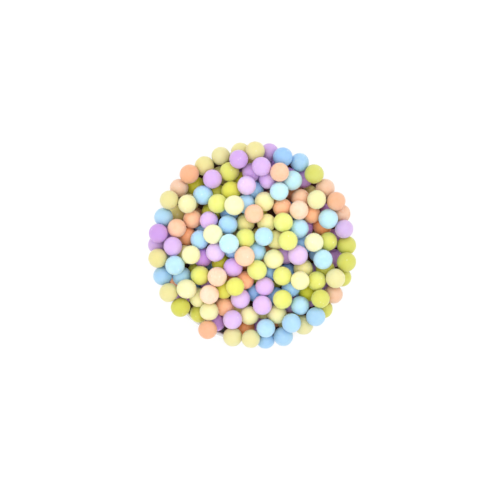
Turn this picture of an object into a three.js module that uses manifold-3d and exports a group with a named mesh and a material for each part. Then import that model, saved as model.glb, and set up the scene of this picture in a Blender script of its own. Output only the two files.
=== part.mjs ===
// A round porcelain bowl heaped with candy coated chocolate balls.
// Millimetres, +Z up, origin at the centre of the foot, on the surface that the bowl stands on.

import * as THREE from 'three';
import { mergeVertices } from 'three/addons/utils/BufferGeometryUtils.js';
import Module from 'manifold-3d';

const wasm = await Module();
wasm.setup();

// ---- driving dimensions ----

const BALL_R = 5.0; // a candy coated chocolate ball is about 10 mm across
const SIZE_SPREAD = 0.03; // balls differ by this share of their radius
const CLEARANCE = 0.55; // air between the candy and the porcelain

const RIM_Z = 46.0; // height of the centre of the rounded lip
const RIM_R = 49.0; // inside radius at the rim
const INSIDE_DEPTH = 40.0; // from the rim down to the inside bottom
const WALL = 2.0; // at the rim
const BASE_THICKNESS = 2.8; // at the axis
const FOOT_OUTER_R = 22.0;
const FOOT_INNER_R = 18.5;
const FOOT_EDGE = 0.6; // bevel on the foot's resting face

const DOME_RISE = 13.0; // the heap's middle above its edge
const EDGE_RISE = 10.0; // highest ball centres over the lip, above the rim
const RING_BALLS = 18; // balls that lie on the lip, and as many again in the gaps above them
const RING_OUT = 0.4; // how far a ball on the lip may sit outside the middle of the lip
const RING_UNEVEN = 1.8; // and how far in from there
const RING_JITTER = 0.14; // unevenness along the lip, as a share of the spacing
const RING_TOP = 15.0; // highest centre in the rings, above the rim
const FILL_R = 48.0; // the fill under the rings keeps inside this radius
const FILL_RISE = 5.0; // and reaches this far above the rim
const EDGE_FROM_R = 38.0; // from here out to the rings, the last balls close the gaps
const EDGE_TOP_UP = 4.0; // and may stand this far above the dome

// How the balls are laid, one after another.
const SEED = 6;
const TRIES = 4; // places tried for each ball of the heap
const MISSES_WHEN_FULL = 60; // balls in a row that find no room, when a stage ends
const FIRST_STEP = 0.6; // of the radius, when a ball rolls downhill
const LAST_STEP = 0.004;
const FIRST_SLIDE = 0.03; // radians, when it slides along the lip
const LAST_SLIDE = 0.0005;
const LOWER_BY = 1e-9; // a place counts as lower from this much on

// The heap as one solid.

const CORE_BELOW = 9.0; // the fused core lies this far under the highest centres
const CORE_DOME_R = 44.0; // its dome ends here, and an edge under the rings follows
const CORE_EDGE = [46.8, 4.6]; // [radius, height over the rim] of the edge's top
const CORE_EDGE_FOOT = 3.0; // height of the edge's upright side over the rim
const SHOWS_BY = 4.5; // a ball counts as showing when it stands this far out of the core
const COARSE_BELOW = -4.0; // a ball whose centre is deeper than this under the dome has 32 sides
const COARSE_FROM_R = 46.0; // and so has one on the lip, where every side shows; the others have 80
const FINE_SCALE = 1.02; // evens out what the flat sides of 80 take from a ball
const COARSE_SCALE = 1.05; // and what those of 32 take
const JOINED_BY = 2.4; // a ball that reaches less than this into the core gets a neck
const NECK_R = 1.5; // of the short neck that joins it to the core
const NECK_SEAT_R = 44.5; // the necks of the balls on the lip lean in to this radius
const NECK_DEPTH = 1.2; // from the core's surface down to a neck's lower end

// ---- shapes worked out from them ----

const LIP_R = WALL / 2; // radius of the round of the lip
const LIP_CIRCLE_R = RIM_R + LIP_R; // radius of the circle down the middle of the lip
const OUTSIDE_R = RIM_R + WALL;

// The bowl's inside and outside are spheres through the rim circle and the bottom point.
const sphereThrough = (rimRadius, depth) => (rimRadius * rimRadius + depth * depth) / (2 * depth);
const INNER_SPHERE_R = sphereThrough(RIM_R, INSIDE_DEPTH);
const INNER_SPHERE_Z = RIM_Z - INSIDE_DEPTH + INNER_SPHERE_R;
const OUTSIDE_DEPTH = INSIDE_DEPTH + BASE_THICKNESS;
const OUTER_SPHERE_R = sphereThrough(OUTSIDE_R, OUTSIDE_DEPTH);
const OUTER_SPHERE_Z = RIM_Z - OUTSIDE_DEPTH + OUTER_SPHERE_R;

// The top of the heap is a sphere that falls by DOME_RISE between the axis and the lip.
const DOME_SPHERE_R = sphereThrough(LIP_CIRCLE_R, DOME_RISE);

// Highest place for a ball's centre at a squared distance from the axis.
function heapLevel(distanceSquared) {
  const fall = DOME_SPHERE_R - Math.sqrt(Math.max(DOME_SPHERE_R * DOME_SPHERE_R - distanceSquared, 0));
  return RIM_Z + EDGE_RISE + DOME_RISE - fall;
}

// ---- solids ----

function solidOf(geometry) {
  const bare = geometry.clone();
  bare.deleteAttribute('normal');
  bare.deleteAttribute('uv');
  const merged = mergeVertices(bare, 1e-4);
  const vertProperties = new Float32Array(merged.attributes.position.array);
  const triVerts = new Uint32Array(merged.index.array);
  return new wasm.Manifold(new wasm.Mesh({ numProp: 3, vertProperties, triVerts }));
}

function geometryOf(solid) {
  const mesh = solid.getMesh();
  const geometry = new THREE.BufferGeometry();
  geometry.setAttribute('position', new THREE.BufferAttribute(new Float32Array(mesh.vertProperties), 3));
  geometry.setIndex(new THREE.BufferAttribute(new Uint32Array(mesh.triVerts), 1));
  geometry.computeVertexNormals();
  return geometry;
}

// Points [radius, height] along a sphere's lower half, centred on the axis.
function sphereArc(sphereRadius, centreZ, fromRadius, toRadius, steps) {
  const start = Math.asin(fromRadius / sphereRadius);
  const end = Math.asin(toRadius / sphereRadius);
  const points = [];
  for (let i = 0; i <= steps; i += 1) {
    const angle = start + ((end - start) * i) / steps;
    points.push([sphereRadius * Math.sin(angle), centreZ - sphereRadius * Math.cos(angle)]);
  }
  return points;
}

// A profile of [radius, height] pairs turned about the Z axis.
function turned(profile, segments) {
  const points = profile.map(([radius, height]) => new THREE.Vector2(Math.max(radius, 0), height));
  const geometry = new THREE.LatheGeometry(points, segments);
  geometry.rotateX(Math.PI / 2);
  return geometry;
}

// ---- the bowl ----

function bowlGeometry() {
  const segments = 40;
  const underside = sphereArc(OUTER_SPHERE_R, OUTER_SPHERE_Z, 0, FOOT_INNER_R, 4);
  const outside = sphereArc(OUTER_SPHERE_R, OUTER_SPHERE_Z, FOOT_OUTER_R + FOOT_EDGE, OUTSIDE_R, 8);
  const inside = sphereArc(INNER_SPHERE_R, INNER_SPHERE_Z, 0, RIM_R, 10).reverse();
  const foot = [
    [FOOT_INNER_R, FOOT_EDGE],
    [FOOT_INNER_R + FOOT_EDGE, 0],
    [FOOT_OUTER_R - FOOT_EDGE, 0],
    [FOOT_OUTER_R, FOOT_EDGE],
  ];
  const lip = [];
  const lipSteps = 5;
  for (let i = 1; i < lipSteps; i += 1) {
    const angle = (Math.PI * i) / lipSteps;
    lip.push([LIP_CIRCLE_R + LIP_R * Math.cos(angle), RIM_Z + LIP_R * Math.sin(angle)]);
  }
  return turned([...underside, ...foot, ...outside, ...lip, ...inside], segments);
}

// ---- where the balls lie ----

// Repeatable draw between 0 and 1.
function seededDraw(seed) {
  let state = seed >>> 0;
  return () => {
    state = (state + 0x6d2b79f5) >>> 0;
    let mixed = Math.imul(state ^ (state >>> 15), state | 1);
    mixed ^= mixed + Math.imul(mixed ^ (mixed >>> 7), mixed | 61);
    return ((mixed ^ (mixed >>> 14)) >>> 0) / 4294967296;
  };
}

const MICRO = 1e6;
const rounded = (value) => Math.round(value * MICRO) / MICRO;

// Sixty degrees apart, for the search for the way down.
const COMPASS = [
  [1, 0],
  [0.5, 0.8660254],
  [-0.5, 0.8660254],
  [-1, 0],
  [-0.5, -0.8660254],
  [0.5, -0.8660254],
];

// Height of a ball's centre when it is let down at (x, y) onto the bowl and the balls that lie there.
function restHeight(x, y, radius, balls) {
  const distanceSquared = x * x + y * y;
  const distance = Math.sqrt(distanceSquared);
  const wallReach = INNER_SPHERE_R - radius - CLEARANCE;
  let height = -Infinity;
  if (distance <= (RIM_R * wallReach) / INNER_SPHERE_R) {
    height = INNER_SPHERE_Z - Math.sqrt(wallReach * wallReach - distanceSquared);
  }
  const lipReach = LIP_R + radius + CLEARANCE;
  const fromLip = distance - LIP_CIRCLE_R;
  const overLip = lipReach * lipReach - fromLip * fromLip;
  if (overLip > 0) {
    height = Math.max(height, RIM_Z + Math.sqrt(overLip));
  }
  for (const ball of balls) {
    const dx = ball.x - x;
    const dy = ball.y - y;
    const reach = ball.radius + radius;
    const overBall = reach * reach - (dx * dx + dy * dy);
    if (overBall > 0) {
      height = Math.max(height, ball.z + Math.sqrt(overBall));
    }
  }
  return height;
}

// Rolls a ball downhill from (x, y) to the hollow where it stays.
function settled(x, y, radius, balls) {
  let place = { x, y, z: restHeight(x, y, radius, balls), radius };
  let step = FIRST_STEP * radius;
  while (step > LAST_STEP) {
    let lowest = place;
    for (const [east, north] of COMPASS) {
      const tryX = place.x + east * step;
      const tryY = place.y + north * step;
      const z = restHeight(tryX, tryY, radius, balls);
      if (z < lowest.z) {
        lowest = { x: tryX, y: tryY, z, radius };
      }
    }
    if (lowest.z < place.z - LOWER_BY) {
      place = lowest;
    } else {
      step *= 0.5;
    }
  }
  return place;
}

const inDisc = (draw, limit) => {
  let x = 0;
  let y = 0;
  do {
    x = (2 * draw() - 1) * limit;
    y = (2 * draw() - 1) * limit;
  } while (x * x + y * y >= limit * limit);
  return [x, y];
};

const ballRadius = (draw) => BALL_R * (1 + SIZE_SPREAD * (2 * draw() - 1));

// Fills the bowl to just over its rim.
function fillBowl(draw, balls) {
  let misses = 0;
  while (misses < MISSES_WHEN_FULL) {
    const radius = ballRadius(draw);
    const [x, y] = inDisc(draw, RIM_R);
    const ball = settled(x, y, radius, balls);
    const insideRim = ball.x * ball.x + ball.y * ball.y < FILL_R * FILL_R;
    if (insideRim && ball.z < RIM_Z + FILL_RISE) {
      balls.push(ball);
      misses = 0;
    } else {
      misses += 1;
    }
  }
}

// Lays one round of balls along the lip, a little unevenly, each slid to the lowest place near it.
function layRing(draw, balls, turn, slide) {
  for (let i = 0; i < RING_BALLS; i += 1) {
    const radius = ballRadius(draw);
    const reach = LIP_CIRCLE_R + RING_OUT - RING_UNEVEN * draw();
    let angle = ((i + turn + RING_JITTER * (2 * draw() - 1)) * 2 * Math.PI) / RING_BALLS;
    const ballAt = (a) => {
      const x = rounded(reach * Math.cos(a));
      const y = rounded(reach * Math.sin(a));
      return { x, y, z: restHeight(x, y, radius, balls), radius };
    };
    let ball = ballAt(angle);
    let step = slide;
    while (step > LAST_SLIDE) {
      const options = [ballAt(angle - step), ballAt(angle + step)];
      const lower = options[0].z < options[1].z ? 0 : 1;
      if (options[lower].z < ball.z - LOWER_BY) {
        ball = options[lower];
        angle += lower ? step : -step;
      } else {
        step *= 0.5;
      }
    }
    if (ball.z < RIM_Z + RING_TOP) {
      balls.push(ball);
    }
  }
}

// Heaps balls over the rim: of a few tries, the ball that comes to rest farthest below the dome stays.
// Near the rings the dome is raised by edgeRise.
function heapUp(draw, balls, edgeRise) {
  let misses = 0;
  while (misses < MISSES_WHEN_FULL) {
    const radius = ballRadius(draw);
    let best = null;
    for (let i = 0; i < TRIES; i += 1) {
      const [x, y] = inDisc(draw, LIP_CIRCLE_R);
      const ball = settled(x, y, radius, balls);
      const distanceSquared = ball.x * ball.x + ball.y * ball.y;
      const allowed = distanceSquared > EDGE_FROM_R * EDGE_FROM_R ? edgeRise : 0;
      ball.level = ball.z - heapLevel(distanceSquared) - allowed;
      const onLip = distanceSquared < (LIP_CIRCLE_R + RING_OUT) * (LIP_CIRCLE_R + RING_OUT);
      if (onLip && ball.level < 0 && Number.isFinite(ball.z) && (!best || ball.level < best.level)) {
        best = ball;
      }
    }
    if (best) {
      balls.push(best);
      misses = 0;
    } else {
      misses += 1;
    }
  }
}

function laidBalls() {
  const draw = seededDraw(SEED);
  const balls = [];
  fillBowl(draw, balls);
  layRing(draw, balls, 0, 0);
  layRing(draw, balls, 0.5, FIRST_SLIDE);
  heapUp(draw, balls, 0);
  heapUp(draw, balls, EDGE_TOP_UP);
  return balls;
}

// ---- the heap as one solid ----

const coreTop = (distance) => heapLevel(distance * distance) - CORE_BELOW;

// A turned core just under the balls that show.
function coreGeometry() {
  const shoulderR = RIM_R - CLEARANCE;
  const fill = sphereArc(INNER_SPHERE_R - CLEARANCE, INNER_SPHERE_Z, 0, shoulderR, 5);
  const [edgeR, edgeRise] = CORE_EDGE;
  const top = [[shoulderR, RIM_Z + CORE_EDGE_FOOT], [edgeR, RIM_Z + edgeRise]];
  const steps = 6;
  for (let i = 0; i <= steps; i += 1) {
    const radius = CORE_DOME_R * (1 - i / steps);
    top.push([radius, coreTop(radius)]);
  }
  return turned([...fill, ...top], 30);
}

// A short neck from a ball's centre down into the core.
function neckGeometry(ball, distance) {
  const seatR = Math.min(distance, NECK_SEAT_R);
  const share = seatR / distance;
  const seat = new THREE.Vector3(ball.x * share, ball.y * share, coreTop(seatR) - NECK_DEPTH);
  const centre = new THREE.Vector3(ball.x, ball.y, ball.z);
  const along = centre.clone().sub(seat);
  const neck = new THREE.CylinderGeometry(NECK_R, NECK_R, along.length(), 5);
  const upright = new THREE.Vector3(0, 1, 0);
  neck.applyQuaternion(new THREE.Quaternion().setFromUnitVectors(upright, along.normalize()));
  const middle = centre.add(seat).multiplyScalar(0.5);
  return neck.translate(middle.x, middle.y, middle.z);
}

function heapGeometry() {
  let heap = solidOf(coreGeometry());
  for (const ball of laidBalls()) {
    const level = ball.z - heapLevel(ball.x * ball.x + ball.y * ball.y);
    if (level + ball.radius + CORE_BELOW > SHOWS_BY) {
      const distance = Math.sqrt(ball.x * ball.x + ball.y * ball.y);
      const shape = level > COARSE_BELOW && distance < COARSE_FROM_R
        ? new THREE.IcosahedronGeometry(ball.radius * FINE_SCALE, 1)
        : new THREE.OctahedronGeometry(ball.radius * COARSE_SCALE, 1);
      shape.translate(ball.x, ball.y, ball.z);
      heap = heap.add(solidOf(shape));
      if (ball.z - ball.radius > coreTop(distance) - JOINED_BY) {
        heap = heap.add(solidOf(neckGeometry(ball, distance)));
      }
    }
  }
  // The largest shell alone, so that a sealed hollow is filled and a loose scrap dropped.
  const shells = heap.decompose();
  return geometryOf(shells.reduce((most, shell) => (shell.volume() > most.volume() ? shell : most)));
}

// ---- the object ----

const porcelain = new THREE.MeshStandardMaterial({ color: 0xf4f3ef, roughness: 0.18, metalness: 0 });
const candyShell = new THREE.MeshStandardMaterial({ color: 0xf0e6b8, roughness: 0.42, metalness: 0 });

const bowl = new THREE.Mesh(bowlGeometry(), porcelain);
bowl.name = 'bowl';
const candyHeap = new THREE.Mesh(heapGeometry(), candyShell);
candyHeap.name = 'candy_heap';

const bowlOfCandy = new THREE.Group();
bowlOfCandy.add(bowl, candyHeap);

export default bowlOfCandy;
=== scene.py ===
# A round porcelain bowl heaped with candy coated chocolate balls.
import math

import bmesh
import bpy
import numpy as np
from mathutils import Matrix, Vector


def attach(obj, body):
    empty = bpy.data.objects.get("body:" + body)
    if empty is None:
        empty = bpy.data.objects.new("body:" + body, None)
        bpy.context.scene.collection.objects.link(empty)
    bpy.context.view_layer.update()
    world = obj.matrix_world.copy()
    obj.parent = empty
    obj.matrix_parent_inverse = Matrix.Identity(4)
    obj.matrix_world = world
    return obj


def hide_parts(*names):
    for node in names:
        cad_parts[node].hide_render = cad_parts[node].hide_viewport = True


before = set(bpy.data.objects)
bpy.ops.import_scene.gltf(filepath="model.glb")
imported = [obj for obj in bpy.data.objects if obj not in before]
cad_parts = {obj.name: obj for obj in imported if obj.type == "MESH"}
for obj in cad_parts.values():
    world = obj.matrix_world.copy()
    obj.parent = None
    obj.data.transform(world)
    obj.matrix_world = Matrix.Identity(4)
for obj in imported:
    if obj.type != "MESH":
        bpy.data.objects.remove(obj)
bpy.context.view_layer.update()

MM = 0.001

# ---- the bowl and the heap, in millimetres, z = 0 under the foot ----

BALL_R = 5.0
SIZE_SPREAD = 0.03
CLEARANCE = 0.55         # air between the candy and the porcelain

RIM_Z = 46.0
RIM_R = 49.0
INSIDE_DEPTH = 40.0
WALL = 2.0
BASE_THICKNESS = 2.8
FOOT_OUTER_R = 22.0
FOOT_INNER_R = 18.5
FOOT_EDGE = 0.6

DOME_RISE = 13.0
EDGE_RISE = 10.0
RING_BALLS = 18
RING_OUT = 0.4
RING_UNEVEN = 1.8
RING_JITTER = 0.14
RING_TOP = 15.0
FILL_R = 48.0
FILL_RISE = 5.0
EDGE_FROM_R = 38.0
EDGE_TOP_UP = 4.0

SEED = 6
TRIES = 4
MISSES_WHEN_FULL = 60
FIRST_STEP = 0.6
LAST_STEP = 0.004
FIRST_SLIDE = 0.03
LAST_SLIDE = 0.0005
LOWER_BY = 1e-9
MICRO = 1e6              # steps in a millimetre that places along the lip are rounded to
MOST_BALLS = 1000

LIP_R = WALL / 2
LIP_CIRCLE_R = RIM_R + LIP_R
OUTSIDE_R = RIM_R + WALL


def sphere_through(rim_radius, depth):
    return (rim_radius * rim_radius + depth * depth) / (2 * depth)


INNER_SPHERE_R = sphere_through(RIM_R, INSIDE_DEPTH)
INNER_SPHERE_Z = RIM_Z - INSIDE_DEPTH + INNER_SPHERE_R
OUTSIDE_DEPTH = INSIDE_DEPTH + BASE_THICKNESS
OUTER_SPHERE_R = sphere_through(OUTSIDE_R, OUTSIDE_DEPTH)
OUTER_SPHERE_Z = RIM_Z - OUTSIDE_DEPTH + OUTER_SPHERE_R
DOME_SPHERE_R = sphere_through(LIP_CIRCLE_R, DOME_RISE)


def heap_level(distance_squared):
    """Highest place for a ball's centre at a squared distance from the axis."""
    fall = DOME_SPHERE_R - math.sqrt(max(DOME_SPHERE_R * DOME_SPHERE_R - distance_squared, 0))
    return RIM_Z + EDGE_RISE + DOME_RISE - fall


# ---- the look ----

BALL_SUBDIVISIONS = 4
SHAPE_SEED = 11
OVALNESS = 0.05          # how much shorter one of a ball's axes may be
LUMPS = 5
LUMP_WAVES = (2.0, 5.0)
LUMP_DEPTH = 0.0022      # this and the depth of the flats are shares of the radius
FLATS_LEAST = 1
FLATS_MOST = 4
FLAT_DEPTH = (0.008, 0.028)
FLAT_FACING = 0.5        # least cosine toward a flat of what it can press in
# Makes up for what the ovals and flats take off, so a ball's mean radius is nearly the laid one.
# Balls that touch then reach a little into one another, by up to a third of a millimetre.
SWELL = 1.045
GRAIN_SHIFT = 900.0      # moves each ball's grain elsewhere in the pattern
TINT_MIDDLE = 0.15       # 0 is a ball's plain colour, 1 its deep tone
TINT_SPREAD = 0.16
DEPTH_SHADE_LEAN = 0.7          # painted shade: toward the deep tone, for balls farther down in the heap
DEEP_FROM = 4.5
DEEP_TO = 11.0
RIM_SHADE_LEAN = 0.4           # painted shade for those farther out too: toward the deep tone, and darker
RIM_SHADE_DARKER = 0.2
RIM_FROM = 34.0
RIM_TO = 50.0

# Colours: the plain one, and the deep tone of blotches and of the painted shade on balls lower
# down or farther out.
KINDS = {
    "cream": {"share": 0.25, "colour": (0.78, 0.79, 0.50), "deep": (0.82, 0.72, 0.27)},
    "lime": {"share": 0.22, "colour": (0.70, 0.73, 0.235), "deep": (0.65, 0.63, 0.04)},
    "peach": {"share": 0.18, "colour": (0.83, 0.69, 0.555), "deep": (0.92, 0.37, 0.15)},
    "blue": {"share": 0.17, "colour": (0.54, 0.80, 0.82), "deep": (0.30, 0.54, 0.91)},
    "lilac": {"share": 0.18, "colour": (0.69, 0.535, 0.80), "deep": (0.60, 0.32, 0.78)},
}
COLOUR_SEED = 7
COPY_NEIGHBOUR = 0.1     # how often a ball has the colour of the nearest one before it
GROUP_HOLDS = 0.3        # how often a ball within a group has the group's colour
# Where one colour gathers: its name, x, y and radius in millimetres.
GROUPS = (
    ("blue", -26.0, -9.0, 15.0),
    ("blue", 17.0, -17.0, 9.0),
    ("lilac", 22.0, -4.0, 9.0),
    ("lilac", -17.0, -27.0, 11.0),
    ("lime", -28.0, 15.0, 9.0),
    ("lime", -20.0, -42.0, 9.0),
    ("cream", 3.0, 30.0, 10.0),
    ("cream", 14.0, -32.0, 10.0),
    ("peach", 22.0, 13.0, 10.0),
)

BLACK = (0.0, 0.0, 0.0)
WHITE = (1.0, 1.0, 1.0)

# Each noise is its scale, detail and roughness; a band is the part of its range that is used.
PLAIN_NOISE = 0.5        # the roughness of a noise with nothing said about it
COLOUR_BAND = (0.35, 0.7)
GLOSS_BAND = (0.3, 0.7)

BLOTCHES = (210.0, 3.0, 0.6)
BLOTCH_BAND = (0.38, 0.7)
BLOTCH_SHARE = 0.3
SPECK_SCALE = 260.0
SPECK_EDGE = (0.07, 0.14)
SPECK_SHARE = 0.3
SPECK_COLOUR = (0.85, 0.83, 0.78)
PEEL = (1500.0, 3.0, 0.55)
PEEL_DEPTH = 0.00004
DIMPLES = (320.0, 2.0, PLAIN_NOISE)
DIMPLE_DEPTH = 0.00022
CANDY_ROUGHNESS = (0.4, 0.56)
CANDY_SPECULAR = 0.25
CANDY_SUBSURFACE = 0.4
CANDY_SCATTER = 0.002
CANDY_SCATTER_TINT = (1.0, 0.8, 0.6)
CANDY_COAT = 0.05
CANDY_COAT_ROUGHNESS = 0.32
CANDY_SHEEN = 0.15
CANDY_SHEEN_ROUGHNESS = 0.5

CORE_BELOW = 17.0        # the core's top lies this far under the highest ball centres
CORE_GAP = 1.2           # between the core and the porcelain
CORE_DOME_R = 44.0
CORE_STEPS = 40
CORE_FILL_STEPS = 24
CORE_SEGMENTS = 120
CORE_WAVES = 12
CORE_WAVE_RATES = (0.5, 1.6)
CORE_ROUGH = 0.012
# The core's dark browns are painted shade for the deep gaps under the drawn balls.
CORE_DARK = (0.06, 0.017, 0.012)
CORE_LIGHT = (0.15, 0.05, 0.03)
CORE_GRAIN = (420.0, 5.0, 0.6)
CORE_GRAIN_DEPTH = 0.0006
CORE_ROUGHNESS = (0.55, 0.8)

BOWL_SEGMENTS = 160
UNDERSIDE_STEPS = 12
OUTSIDE_STEPS = 40
INSIDE_STEPS = 44
LIP_STEPS = 14
FOOT_ROUND = 0.28
FOOT_ROUND_STEPS = 5
BARE_BELOW = 0.12        # the foot's face is unglazed up to here
TOUCHES_AXIS = 1e-6
GLAZE_COLOUR = (0.62, 0.62, 0.61)
GLAZE_WARM = (0.60, 0.59, 0.56)
GLAZE_CLOUDS = (38.0, 4.0, 0.55)
GLAZE_ROUGHNESS = (0.12, 0.2)
GLAZE_RIPPLE = (70.0, 1.5, PLAIN_NOISE)
GLAZE_RIPPLE_DEPTH = 0.00025
GLAZE_PORES = (900.0, 2.0, PLAIN_NOISE)
GLAZE_PORE_DEPTH = 0.000012
GLAZE_COAT = 0.5
GLAZE_COAT_ROUGHNESS = 0.06
BISQUE_COLOUR = (0.74, 0.71, 0.65)
BISQUE_DARK = (0.62, 0.58, 0.51)
BISQUE_GRAIN = (1500.0, 4.0, 0.65)
BISQUE_GRAIN_DEPTH = 0.00008
BISQUE_ROUGHNESS = (0.75, 0.95)

FLOOR_SIZE = 6.0
FLOOR_COLOUR = (0.80, 0.80, 0.80)
FLOOR_SHADE = (0.78, 0.78, 0.78)
FLOOR_CLOUDS = (3.0, 2.0, PLAIN_NOISE)
FLOOR_ROUGHNESS = 0.9
FLOOR_SPECULAR = 0.1
FLOOR_GLOW = 0.05
STUDIO_TOP = 1.52        # brightness of the studio overhead
STUDIO_SIDES = 1.14      # and at the height of the table
KEY_HEIGHT = 1.7
KEY_SIZE = 1.3
KEY_POWER = 3.0
EXPOSURE = 0.0

# The camera looks straight down; its distance and lens give the photograph's framing.
SENSOR_MM = 36.0
LENS_MM = 109.4
CAMERA_X = -1.34
CAMERA_Y = -2.26
CAMERA_Z = 0.854
CLIP_START = 0.01
CLIP_END = 20.0


# ---- where the balls lie: the rule that the heap's CAD solid follows ----

DRAW_RANGE = 2 ** 32
DRAW_MASK = DRAW_RANGE - 1
DRAW_STRIDE = 0x6D2B79F5
DRAW_STIR = 61


def seeded_draw(seed):
    """Repeatable draw between 0 and 1."""
    state = seed & DRAW_MASK

    def draw():
        nonlocal state
        state = (state + DRAW_STRIDE) & DRAW_MASK
        bits = ((state ^ (state >> 15)) * (state | 1)) & DRAW_MASK
        stirred = ((bits ^ (bits >> 7)) * (bits | DRAW_STIR)) & DRAW_MASK
        bits ^= (bits + stirred) & DRAW_MASK
        return (bits ^ (bits >> 14)) / DRAW_RANGE

    return draw


# Sixty degrees apart, for the search for the way down.
COS_60 = 0.5
SIN_60 = 0.8660254
COMPASS = (
    (1, 0),
    (COS_60, SIN_60),
    (-COS_60, SIN_60),
    (-1, 0),
    (-COS_60, -SIN_60),
    (COS_60, -SIN_60),
)


class Heap:
    """Balls laid one after another; each row of laid is x, y, z and radius."""

    def __init__(self, seed):
        self.draw = seeded_draw(seed)
        self.rows = np.zeros((MOST_BALLS, 4))
        self.count = 0

    def rest_height(self, x, y, radius):
        """Height of a ball's centre when it is let down at (x, y)."""
        distance_squared = x * x + y * y
        distance = math.sqrt(distance_squared)
        wall_reach = INNER_SPHERE_R - radius - CLEARANCE
        height = -math.inf
        if distance <= (RIM_R * wall_reach) / INNER_SPHERE_R:
            height = INNER_SPHERE_Z - math.sqrt(wall_reach * wall_reach - distance_squared)
        lip_reach = LIP_R + radius + CLEARANCE
        from_lip = distance - LIP_CIRCLE_R
        over_lip = lip_reach * lip_reach - from_lip * from_lip
        if over_lip > 0:
            height = max(height, RIM_Z + math.sqrt(over_lip))
        laid = self.rows[: self.count]
        dx = laid[:, 0] - x
        dy = laid[:, 1] - y
        reach = laid[:, 3] + radius
        over_ball = reach * reach - (dx * dx + dy * dy)
        touched = over_ball > 0
        if touched.any():
            height = max(height, float((laid[touched, 2] + np.sqrt(over_ball[touched])).max()))
        return height

    def settled(self, x, y, radius):
        """Rolls a ball downhill from (x, y) to the hollow where it stays."""
        place = (x, y, self.rest_height(x, y, radius), radius)
        step = FIRST_STEP * radius
        while step > LAST_STEP:
            lowest = place
            for east, north in COMPASS:
                try_x = place[0] + east * step
                try_y = place[1] + north * step
                z = self.rest_height(try_x, try_y, radius)
                if z < lowest[2]:
                    lowest = (try_x, try_y, z, radius)
            if lowest[2] < place[2] - LOWER_BY:
                place = lowest
            else:
                step *= 0.5
        return place

    def in_disc(self, limit):
        x = limit
        y = limit
        while x * x + y * y >= limit * limit:
            x = (2 * self.draw() - 1) * limit
            y = (2 * self.draw() - 1) * limit
        return x, y

    def ball_radius(self):
        return BALL_R * (1 + SIZE_SPREAD * (2 * self.draw() - 1))

    def lay(self, ball):
        self.rows[self.count] = ball
        self.count += 1

    def fill_bowl(self):
        """Fills the bowl to just over its rim."""
        misses = 0
        while misses < MISSES_WHEN_FULL:
            radius = self.ball_radius()
            x, y = self.in_disc(RIM_R)
            ball = self.settled(x, y, radius)
            inside_rim = ball[0] * ball[0] + ball[1] * ball[1] < FILL_R * FILL_R
            if inside_rim and ball[2] < RIM_Z + FILL_RISE:
                self.lay(ball)
                misses = 0
            else:
                misses += 1

    def lay_ring(self, turn, slide):
        """One round of balls along the lip, each slid to the lowest place near it."""
        for i in range(RING_BALLS):
            radius = self.ball_radius()
            reach = LIP_CIRCLE_R + RING_OUT - RING_UNEVEN * self.draw()
            angle = ((i + turn + RING_JITTER * (2 * self.draw() - 1)) * 2 * math.pi) / RING_BALLS

            def ball_at(a):
                x = math.floor(reach * math.cos(a) * MICRO + 0.5) / MICRO
                y = math.floor(reach * math.sin(a) * MICRO + 0.5) / MICRO
                return (x, y, self.rest_height(x, y, radius), radius)

            ball = ball_at(angle)
            step = slide
            while step > LAST_SLIDE:
                options = (ball_at(angle - step), ball_at(angle + step))
                lower = 0 if options[0][2] < options[1][2] else 1
                if options[lower][2] < ball[2] - LOWER_BY:
                    ball = options[lower]
                    angle += step if lower else -step
                else:
                    step *= 0.5
            if ball[2] < RIM_Z + RING_TOP:
                self.lay(ball)

    def heap_up(self, edge_rise):
        """Of a few tries, the ball that comes to rest farthest below the dome stays."""
        misses = 0
        while misses < MISSES_WHEN_FULL:
            radius = self.ball_radius()
            best = None
            best_level = 0.0
            for _ in range(TRIES):
                x, y = self.in_disc(LIP_CIRCLE_R)
                ball = self.settled(x, y, radius)
                distance_squared = ball[0] * ball[0] + ball[1] * ball[1]
                allowed = edge_rise if distance_squared > EDGE_FROM_R * EDGE_FROM_R else 0
                level = ball[2] - heap_level(distance_squared) - allowed
                on_lip = distance_squared < (LIP_CIRCLE_R + RING_OUT) * (LIP_CIRCLE_R + RING_OUT)
                if on_lip and math.isfinite(ball[2]) and level < best_level:
                    best = ball
                    best_level = level
            if best:
                self.lay(best)
                misses = 0
            else:
                misses += 1


def laid_balls():
    heap = Heap(SEED)
    heap.fill_bowl()
    heap.lay_ring(0, 0)
    heap.lay_ring(0.5, FIRST_SLIDE)
    heap.heap_up(0)
    heap.heap_up(EDGE_TOP_UP)
    return heap.rows[: heap.count].copy()


# ---- meshes ----

def add_piece(name, vertices, faces, materials, smooth=True):
    mesh = bpy.data.meshes.new(name)
    mesh.from_pydata(vertices, [], faces)
    mesh.validate()
    for material in materials:
        mesh.materials.append(material)
    mesh.polygons.foreach_set("use_smooth", [smooth] * len(mesh.polygons))
    piece = bpy.data.objects.new(name, mesh)
    bpy.context.scene.collection.objects.link(piece)
    return piece


def ball_template():
    """Unit ball of even triangles: corner directions, and the three corners of each."""
    shape = bmesh.new()
    bmesh.ops.create_icosphere(shape, subdivisions=BALL_SUBDIVISIONS, radius=1.0)
    corners = np.array([vertex.co for vertex in shape.verts])
    triangles = np.array([[vertex.index for vertex in face.verts] for face in shape.faces])
    shape.free()
    return corners, triangles


def random_directions(draws, count):
    directions = draws.normal(size=(count, 3))
    return directions / np.linalg.norm(directions, axis=1)[:, None]


def random_turn(draws):
    """Three upright axes in any direction, as the rows of a matrix."""
    axes, _ = np.linalg.qr(draws.normal(size=(3, 3)))
    return axes


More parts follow.
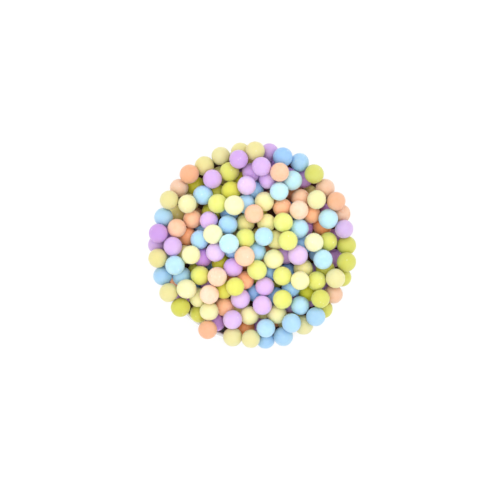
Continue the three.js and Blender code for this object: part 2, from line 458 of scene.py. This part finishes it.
def shaped_ball(corners, draws):
    """One pan-coated ball of radius 1: a little oval, lumpy, and flat where others pressed it."""
    axes = random_turn(draws)
    ovals = 1.0 - OVALNESS * draws.uniform(0.0, 1.0, size=3)
    size = np.ones(len(corners))
    for direction in random_directions(draws, LUMPS):
        waves = draws.uniform(*LUMP_WAVES)
        phase = draws.uniform(0.0, 2 * math.pi)
        size -= LUMP_DEPTH * (1 + np.sin(waves * (corners @ direction) + phase))
    for direction in random_directions(draws, draws.randint(FLATS_LEAST, FLATS_MOST + 1)):
        facing = corners @ direction
        flat_at = 1.0 - draws.uniform(*FLAT_DEPTH)
        plane = flat_at / np.maximum(facing, FLAT_FACING)
        size = np.minimum(size, plane)
    own = corners * size[:, None]
    return own, ((own @ axes.T) * ovals) @ axes


def add_candy_piece(name, balls, tints_and_shade, rim_shade, material, template, draws):
    """All balls of one colour as one mesh, each with its own tone and painted shade, and its own
    grain.
    """
    corners, triangles = template
    places = []
    faces = []
    grain = []
    tones_and_shade = []
    for row, (x, y, z, radius) in enumerate(balls):
        own, shape = shaped_ball(corners, draws)
        places.append((shape * radius * SWELL + (x, y, z)) * MM)
        faces.append(triangles + row * len(corners))
        grain.append((own * radius + draws.uniform(0.0, GRAIN_SHIFT, size=3)) * MM)
        tones_and_shade.append(np.tile((tints_and_shade[row], rim_shade[row], 0.0), (len(corners), 1)))
    vertices = np.concatenate(places).tolist()
    piece = add_piece(name, vertices, np.concatenate(faces).tolist(), [material])
    own_place = piece.data.attributes.new("own_place", "FLOAT_VECTOR", "POINT")
    own_place.data.foreach_set("vector", np.concatenate(grain).ravel())
    # Each ball's random tint and its painted shade, carried to the material.
    tone_and_shade = piece.data.attributes.new("tone_and_shade", "FLOAT_VECTOR", "POINT")
    tone_and_shade.data.foreach_set("vector", np.concatenate(tones_and_shade).ravel())
    return piece


def sphere_arc(sphere_radius, centre_z, from_radius, to_radius, steps):
    """Points (radius, height) along a sphere's lower half, centred on the axis."""
    start = math.asin(from_radius / sphere_radius)
    end = math.asin(to_radius / sphere_radius)
    angles = [start + (end - start) * i / steps for i in range(steps + 1)]
    return [(sphere_radius * math.sin(a), centre_z - sphere_radius * math.cos(a)) for a in angles]


def round_corner(before, corner, after, radius, steps):
    """A corner of a profile rounded off with a short smooth curve."""
    corner = np.array(corner)
    ways = [np.array(before) - corner, np.array(after) - corner]
    start, end = [corner + way / np.linalg.norm(way) * radius for way in ways]
    shares = [i / steps for i in range(steps + 1)]
    points = [start * (1 - t) ** 2 + corner * (2 * t * (1 - t)) + end * t ** 2 for t in shares]
    return [tuple(point) for point in points]


def turned(profile, segments):
    """A closed solid: a profile of (radius, height) in millimetres turned about the axis."""
    vertices = []
    rings = []
    for radius, height in profile:
        if radius < TOUCHES_AXIS:
            rings.append([len(vertices)] * segments)
            vertices.append((0.0, 0.0, height * MM))
            continue
        rings.append(list(range(len(vertices), len(vertices) + segments)))
        for i in range(segments):
            angle = 2 * math.pi * i / segments
            place = (radius * math.cos(angle), radius * math.sin(angle), height)
            vertices.append(tuple(value * MM for value in place))
    faces = []
    for lower, upper in zip(rings, rings[1:]):
        for i in range(segments):
            j = (i + 1) % segments
            corners = [lower[i], lower[j], upper[j], upper[i]]
            faces.append(list(dict.fromkeys(corners)))
    return vertices, faces


# ---- materials ----

# The colour sockets of a mix.
MIX_UNDER = 6
MIX_OVER = 7
MIX_RESULT = 2


def new_material(name):
    material = bpy.data.materials.new(name)
    material.use_nodes = True
    tree = material.node_tree
    tree.nodes.clear()
    output = tree.nodes.new("ShaderNodeOutputMaterial")
    shader = tree.nodes.new("ShaderNodeBsdfPrincipled")
    tree.links.new(shader.outputs["BSDF"], output.inputs["Surface"])
    return material, tree, shader


def object_place(tree):
    return tree.nodes.new("ShaderNodeTexCoord").outputs["Object"]


def own_value(tree, name):
    """What a ball's corners carry under this name."""
    node = tree.nodes.new("ShaderNodeAttribute")
    node.attribute_name = name
    return node.outputs["Vector"]


def noise(tree, place, scale, detail, roughness):
    texture = tree.nodes.new("ShaderNodeTexNoise")
    texture.inputs["Scale"].default_value = scale
    texture.inputs["Detail"].default_value = detail
    texture.inputs["Roughness"].default_value = roughness
    tree.links.new(place, texture.inputs["Vector"])
    return texture.outputs["Fac"]


def remap(tree, value, low, high, to_low, to_high):
    ranged = tree.nodes.new("ShaderNodeMapRange")
    numbers = {"From Min": low, "From Max": high, "To Min": to_low, "To Max": to_high}
    for socket, number in numbers.items():
        ranged.inputs[socket].default_value = number
    tree.links.new(value, ranged.inputs["Value"])
    return ranged.outputs["Result"]


def mixed(tree, share, under, over):
    """A colour mix; under and over are colours or colour sockets."""
    mix = tree.nodes.new("ShaderNodeMix")
    mix.data_type = "RGBA"
    tree.links.new(share, mix.inputs["Factor"])
    for socket, colour in ((mix.inputs[MIX_UNDER], under), (mix.inputs[MIX_OVER], over)):
        if isinstance(colour, tuple):
            socket.default_value = (*colour, 1.0)
        else:
            tree.links.new(colour, socket)
    return mix.outputs[MIX_RESULT]


def bump(tree, height, distance, under=None):
    relief = tree.nodes.new("ShaderNodeBump")
    relief.inputs["Strength"].default_value = 1.0
    relief.inputs["Distance"].default_value = distance
    tree.links.new(height, relief.inputs["Height"])
    if under:
        tree.links.new(under, relief.inputs["Normal"])
    return relief.outputs["Normal"]


def candy_material(name, colour, deep):
    """Sugar shell: satin, faintly mottled and dimpled, with a few pale specks, and painted shade
    on balls low in the heap or near the rim.
    """
    material, tree, shader = new_material(name)
    place = own_value(tree, "own_place")
    # X leads toward the deep tone, for a ball's random tint and its painted shade; Y toward
    # black, for painted shade at the rim.
    tone = tree.nodes.new("ShaderNodeSeparateXYZ")
    tree.links.new(own_value(tree, "tone_and_shade"), tone.inputs[0])

    toned_and_shaded = mixed(tree, tone.outputs["X"], colour, deep)
    blotches = noise(tree, place, *BLOTCHES)
    blotch_share = remap(tree, blotches, *BLOTCH_BAND, 0.0, BLOTCH_SHARE)
    blotched = mixed(tree, blotch_share, toned_and_shaded, deep)

    specks = tree.nodes.new("ShaderNodeTexVoronoi")
    specks.inputs["Scale"].default_value = SPECK_SCALE
    tree.links.new(place, specks.inputs["Vector"])
    speck_share = remap(tree, specks.outputs["Distance"], *SPECK_EDGE, SPECK_SHARE, 0.0)
    speckled = mixed(tree, speck_share, blotched, SPECK_COLOUR)
    # Painted shade at the rim: mixed toward black.
    rim_shaded = mixed(tree, tone.outputs["Y"], speckled, BLACK)
    tree.links.new(rim_shaded, shader.inputs["Base Color"])

    fine = noise(tree, place, *PEEL)
    tree.links.new(remap(tree, fine, *GLOSS_BAND, *CANDY_ROUGHNESS), shader.inputs["Roughness"])
    broad = noise(tree, place, *DIMPLES)
    dimpled = bump(tree, broad, DIMPLE_DEPTH)
    tree.links.new(bump(tree, fine, PEEL_DEPTH, dimpled), shader.inputs["Normal"])

    shader.inputs["Specular IOR Level"].default_value = CANDY_SPECULAR
    shader.inputs["Subsurface Weight"].default_value = CANDY_SUBSURFACE
    shader.inputs["Subsurface Radius"].default_value = CANDY_SCATTER_TINT
    shader.inputs["Subsurface Scale"].default_value = CANDY_SCATTER
    shader.inputs["Coat Weight"].default_value = CANDY_COAT
    shader.inputs["Coat Roughness"].default_value = CANDY_COAT_ROUGHNESS
    shader.inputs["Sheen Weight"].default_value = CANDY_SHEEN
    shader.inputs["Sheen Roughness"].default_value = CANDY_SHEEN_ROUGHNESS
    return material


def core_material():
    """Dark brown painted shade for the deep gaps between the balls, grainy and rough."""
    material, tree, shader = new_material("candy_core")
    grain = noise(tree, object_place(tree), *CORE_GRAIN)
    shade = remap(tree, grain, *COLOUR_BAND, 0.0, 1.0)
    tree.links.new(mixed(tree, shade, CORE_DARK, CORE_LIGHT), shader.inputs["Base Color"])
    tree.links.new(remap(tree, grain, *GLOSS_BAND, *CORE_ROUGHNESS), shader.inputs["Roughness"])
    tree.links.new(bump(tree, grain, CORE_GRAIN_DEPTH), shader.inputs["Normal"])
    return material


def porcelain_material():
    """White glaze with a slight ripple and a faint warm mottling."""
    material, tree, shader = new_material("porcelain_glaze")
    place = object_place(tree)
    clouds = noise(tree, place, *GLAZE_CLOUDS)
    share = remap(tree, clouds, *COLOUR_BAND, 0.0, 1.0)
    tree.links.new(mixed(tree, share, GLAZE_COLOUR, GLAZE_WARM), shader.inputs["Base Color"])
    tree.links.new(remap(tree, clouds, *GLOSS_BAND, *GLAZE_ROUGHNESS), shader.inputs["Roughness"])
    ripple = noise(tree, place, *GLAZE_RIPPLE)
    pores = noise(tree, place, *GLAZE_PORES)
    rippled = bump(tree, ripple, GLAZE_RIPPLE_DEPTH)
    tree.links.new(bump(tree, pores, GLAZE_PORE_DEPTH, rippled), shader.inputs["Normal"])
    shader.inputs["Coat Weight"].default_value = GLAZE_COAT
    shader.inputs["Coat Roughness"].default_value = GLAZE_COAT_ROUGHNESS
    return material


def bisque_material():
    """Unglazed clay of the foot's resting face."""
    material, tree, shader = new_material("porcelain_foot")
    grain = noise(tree, object_place(tree), *BISQUE_GRAIN)
    share = remap(tree, grain, *COLOUR_BAND, 0.0, 1.0)
    tree.links.new(mixed(tree, share, BISQUE_COLOUR, BISQUE_DARK), shader.inputs["Base Color"])
    tree.links.new(remap(tree, grain, *GLOSS_BAND, *BISQUE_ROUGHNESS), shader.inputs["Roughness"])
    tree.links.new(bump(tree, grain, BISQUE_GRAIN_DEPTH), shader.inputs["Normal"])
    return material


def floor_material():
    """Pale and dull, with a little glow of its own."""
    material, tree, shader = new_material("pale_floor")
    clouds = noise(tree, object_place(tree), *FLOOR_CLOUDS)
    share = remap(tree, clouds, *COLOUR_BAND, 0.0, 1.0)
    tree.links.new(mixed(tree, share, FLOOR_COLOUR, FLOOR_SHADE), shader.inputs["Base Color"])
    shader.inputs["Roughness"].default_value = FLOOR_ROUGHNESS
    shader.inputs["Specular IOR Level"].default_value = FLOOR_SPECULAR
    shader.inputs["Emission Color"].default_value = (*WHITE, 1.0)
    shader.inputs["Emission Strength"].default_value = FLOOR_GLOW
    return material


# ---- the candy ----

def kind_of_each(balls):
    """A colour for each ball, with the small same-coloured groups of a poured heap."""
    draw = seeded_draw(COLOUR_SEED)
    names = list(KINDS)
    ladder = np.cumsum([KINDS[name]["share"] for name in names])

    def by_share():
        return names[min(int(np.searchsorted(ladder, draw() * ladder[-1])), len(names) - 1)]

    chosen = []
    for row, (x, y, z, _) in enumerate(balls):
        group_draw = draw()
        copy_draw = draw()
        kind = by_share()
        if row and copy_draw < COPY_NEIGHBOUR:
            apart = np.linalg.norm(balls[:row, :3] - (x, y, z), axis=1)
            kind = chosen[int(apart.argmin())]
        for group, group_x, group_y, group_r in GROUPS:
            near = math.hypot(x - group_x, y - group_y) < group_r
            if near and group_draw < GROUP_HOLDS:
                kind = group
        chosen.append(kind)
    return chosen


def ramp(values, low, high):
    """0 up to low, 1 from high on, and even between."""
    return np.clip((values - low) / (high - low), 0.0, 1.0)


def add_candy():
    """The balls near the surface, one piece for each colour."""
    balls = laid_balls()
    squared = balls[:, 0] ** 2 + balls[:, 1] ** 2
    depths = np.array([heap_level(value) for value in squared]) - balls[:, 2]
    outward = ramp(np.sqrt(squared), RIM_FROM, RIM_TO)
    # Painted shade: balls lower in the heap or farther out lean toward the deep tone.
    shade_leans = DEPTH_SHADE_LEAN * ramp(depths, DEEP_FROM, DEEP_TO) + RIM_SHADE_LEAN * outward
    in_view = depths - balls[:, 3] < CORE_BELOW
    shown = balls[in_view]
    kinds = kind_of_each(shown)
    template = ball_template()
    draws = np.random.RandomState(SHAPE_SEED)
    pieces = []
    for name, facts in KINDS.items():
        of_kind = [kind == name for kind in kinds]
        mine = shown[of_kind]
        # Each ball's random tint, with its painted shade added.
        tints_and_shade = draws.normal(TINT_MIDDLE, TINT_SPREAD, size=len(mine)) + shade_leans[in_view][of_kind]
        tints_and_shade = np.clip(tints_and_shade, 0.0, 1.0)
        # Painted shade: balls farther out are also mixed toward black.
        rim_shade = RIM_SHADE_DARKER * outward[in_view][of_kind]
        look = candy_material("candy_" + name, facts["colour"], facts["deep"])
        piece = add_candy_piece("candy_" + name, mine, tints_and_shade, rim_shade, look, template, draws)
        pieces.append(piece)
    return pieces


def add_core():
    """What lies under the balls that can be seen, rough, and dark brown as painted shade."""
    shoulder_r = RIM_R - CORE_GAP
    fill = sphere_arc(INNER_SPHERE_R - CORE_GAP, INNER_SPHERE_Z, 0, shoulder_r, CORE_FILL_STEPS)
    top = []
    for i in range(CORE_STEPS + 1):
        radius = CORE_DOME_R * (1 - i / CORE_STEPS)
        top.append((radius, heap_level(radius * radius) - CORE_BELOW))
    vertices, faces = turned(fill + top, CORE_SEGMENTS)
    draws = np.random.RandomState(SHAPE_SEED)
    directions = random_directions(draws, CORE_WAVES)
    waves = directions * draws.uniform(*CORE_WAVE_RATES, size=(CORE_WAVES, 1)) / MM
    phases = draws.uniform(0.0, 2 * math.pi, size=CORE_WAVES)
    places = np.array(vertices)
    rough = np.sin(places @ waves.T + phases).sum(axis=1) / math.sqrt(CORE_WAVES)
    inward = 1.0 - CORE_ROUGH * (1.0 + np.clip(rough, -1.0, 1.0))
    places[:, :2] *= inward[:, None]
    return add_piece("candy_core", places.tolist(), faces, [core_material()])


# ---- the bowl ----

def add_bowl():
    """The bowl as one turned profile, from the middle of the underside round to the inside."""
    outer = (OUTER_SPHERE_R, OUTER_SPHERE_Z)
    underside = sphere_arc(*outer, 0, FOOT_INNER_R, UNDERSIDE_STEPS)
    outside = sphere_arc(*outer, FOOT_OUTER_R + FOOT_EDGE, OUTSIDE_R, OUTSIDE_STEPS)
    inside = sphere_arc(INNER_SPHERE_R, INNER_SPHERE_Z, 0, RIM_R, INSIDE_STEPS)[::-1]
    foot = [
        (FOOT_INNER_R, FOOT_EDGE),
        (FOOT_INNER_R + FOOT_EDGE, 0.0),
        (FOOT_OUTER_R - FOOT_EDGE, 0.0),
        (FOOT_OUTER_R, FOOT_EDGE),
    ]
    path = [underside[-1], *foot, outside[0]]
    rounded_foot = []
    for before, corner, after in zip(path, path[1:], path[2:]):
        rounded_foot += round_corner(before, corner, after, FOOT_ROUND, FOOT_ROUND_STEPS)
    lip = []
    for i in range(1, LIP_STEPS):
        angle = math.pi * i / LIP_STEPS
        lip.append((LIP_CIRCLE_R + LIP_R * math.cos(angle), RIM_Z + LIP_R * math.sin(angle)))
    vertices, faces = turned(underside + rounded_foot + outside + lip + inside, BOWL_SEGMENTS)
    materials = [porcelain_material(), bisque_material()]
    piece = add_piece("bowl_glazed", vertices, faces, materials)
    for polygon in piece.data.polygons:
        if polygon.center.z < BARE_BELOW * MM:
            polygon.material_index = 1
    return piece


# ---- floor, lights and camera ----

def add_floor():
    half = FLOOR_SIZE / 2
    corners = [(-half, -half, 0.0), (half, -half, 0.0), (half, half, 0.0), (-half, half, 0.0)]
    floor = add_piece("floor", corners, [(0, 1, 2, 3)], [floor_material()], smooth=False)


def add_soft_light(name, place, target, size, power):
    data = bpy.data.lights.new(name, "AREA")
    data.shape = "DISK"
    data.size = size
    data.energy = power
    light = bpy.data.objects.new(name, data)
    light.location = place
    light.rotation_euler = (Vector(target) - Vector(place)).to_track_quat("-Z", "Y").to_euler()
    bpy.context.scene.collection.objects.link(light)


def set_surroundings():
    """A white studio, brighter overhead than at the height of the table."""
    world = bpy.data.worlds.new("studio")
    world.use_nodes = True
    tree = world.node_tree
    direction = tree.nodes.new("ShaderNodeSeparateXYZ")
    tree.links.new(tree.nodes.new("ShaderNodeTexCoord").outputs["Generated"], direction.inputs[0])
    strength = remap(tree, direction.outputs["Z"], 0.0, 1.0, STUDIO_SIDES, STUDIO_TOP)
    tree.links.new(strength, tree.nodes["Background"].inputs["Strength"])
    tree.nodes["Background"].inputs["Color"].default_value = (*WHITE, 1.0)
    bpy.context.scene.world = world


def add_camera():
    data = bpy.data.cameras.new("camera")
    data.sensor_width = SENSOR_MM
    data.lens = LENS_MM
    data.clip_start = CLIP_START
    data.clip_end = CLIP_END
    camera = bpy.data.objects.new("camera", data)
    camera.location = (CAMERA_X * MM, CAMERA_Y * MM, CAMERA_Z)
    bpy.context.scene.collection.objects.link(camera)
    bpy.context.scene.camera = camera


bowl = add_bowl()
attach(bowl, "root")
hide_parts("bowl")

for piece in [*add_candy(), add_core()]:
    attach(piece, "root")
    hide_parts("candy_heap")

add_floor()
set_surroundings()
add_soft_light("overhead", (0.0, 0.0, KEY_HEIGHT), (0.0, 0.0, 0.0), KEY_SIZE, KEY_POWER)
add_camera()
bpy.context.scene.view_settings.view_transform = "Standard"
bpy.context.scene.view_settings.exposure = EXPOSURE
